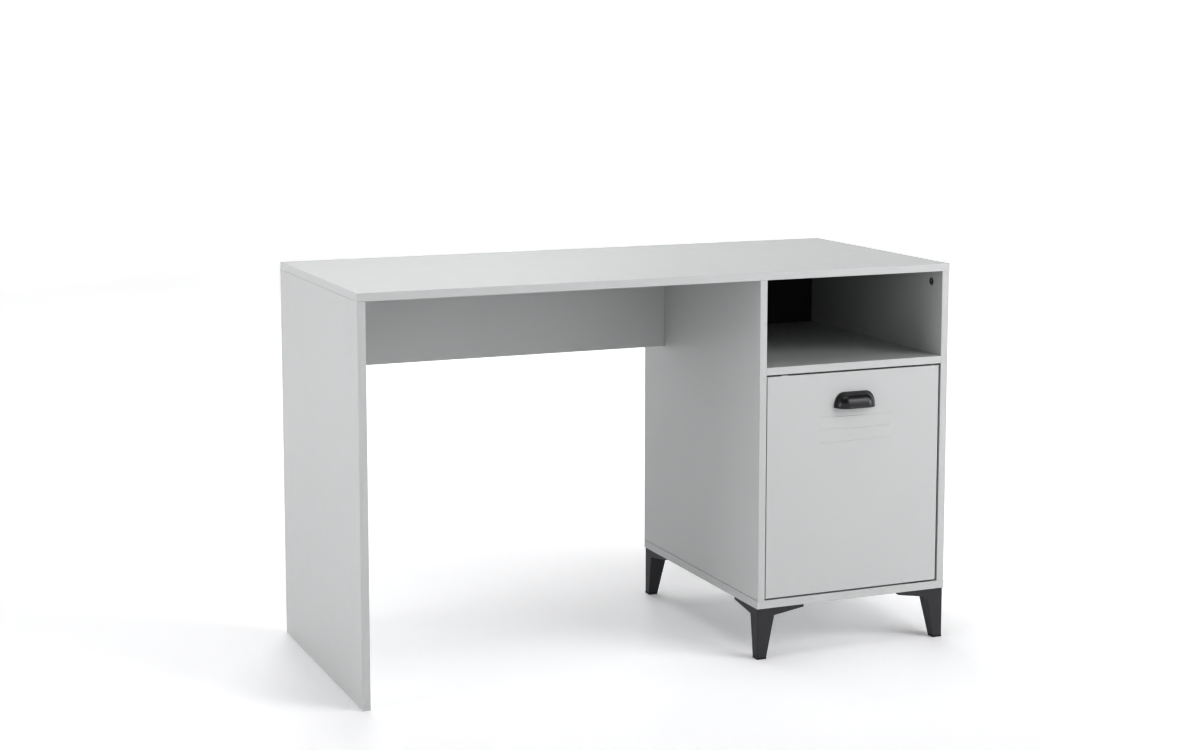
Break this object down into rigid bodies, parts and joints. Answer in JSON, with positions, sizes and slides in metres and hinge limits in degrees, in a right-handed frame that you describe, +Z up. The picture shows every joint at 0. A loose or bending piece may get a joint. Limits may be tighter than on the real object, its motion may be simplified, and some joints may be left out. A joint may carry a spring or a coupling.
{
  "type": "pedestal computer desk",
  "caption": "Pedestal desk: flat panel top, full-height end panel, modesty panel, and a cupboard with open compartment, hinged door and cup handle on folded steel legs.",
  "frame": {"origin": "centre of the footprint, handle included, on the floor", "axes": "+X to the right along the desk's length, seen by the person who sits at it; +Y to the back; +Z up"},
  "size_m": [1.2, 0.558, 0.75],
  "materials": {
    "board": "light cool grey lacquered fibreboard, satin",
    "hardboard_back": "black faced hardboard, matt",
    "leg_steel": "black powder coat, satin",
    "glide_plastic": "black moulded plastic",
    "handle_finish": "black satin enamel on die-cast zinc",
    "zinc_fittings": "bright zinc plate",
    "black_screws": "black phosphate",
    "white_plastic": "white moulded nylon",
    "magnet": "dark ferrite",
    "dowel_wood": "raw beech"
  },
  "bodies": {
    "carcass": {"desk_top": "board", "left_end_panel": "board", "modesty_panel": "board", "cabinet_left_side": "board", "cabinet_right_side": "board", "cabinet_shelf": "board", "cabinet_base": "board", "cabinet_back": "hardboard_back", "back_nails": "zinc_fittings", "leg_front_left": "leg_steel", "leg_front_right": "leg_steel", "leg_rear_left": "leg_steel", "leg_rear_right": "leg_steel", "glide_front_left": "glide_plastic", "glide_front_right": "glide_plastic", "glide_rear_left": "glide_plastic", "glide_rear_right": "glide_plastic", "leg_screws": "black_screws", "cam_locks": "zinc_fittings", "cam_bolts": "zinc_fittings", "wooden_dowels": "dowel_wood", "upper_pivot_bracket": "leg_steel", "lower_pivot_bracket": "leg_steel", "upper_pivot_pin": "zinc_fittings", "lower_pivot_pin": "zinc_fittings", "bracket_screws": "zinc_fittings", "catch_body": "white_plastic", "catch_magnet": "magnet", "catch_screws": "zinc_fittings"},
    "door": {"door": "board", "door_handle": "handle_finish", "handle_screws": "zinc_fittings", "upper_pivot_bush": "white_plastic", "lower_pivot_bush": "white_plastic", "strike_plate": "zinc_fittings", "strike_screw": "zinc_fittings"}
  },
  "joints": [
    {"name": "door_pivot", "type": "hinge", "parent": "carcass", "child": "door", "pos_m": [0.5675, -0.2485, 0.3345], "axis": [0, 0, 1], "range_deg": [0, 110]}
  ]
}
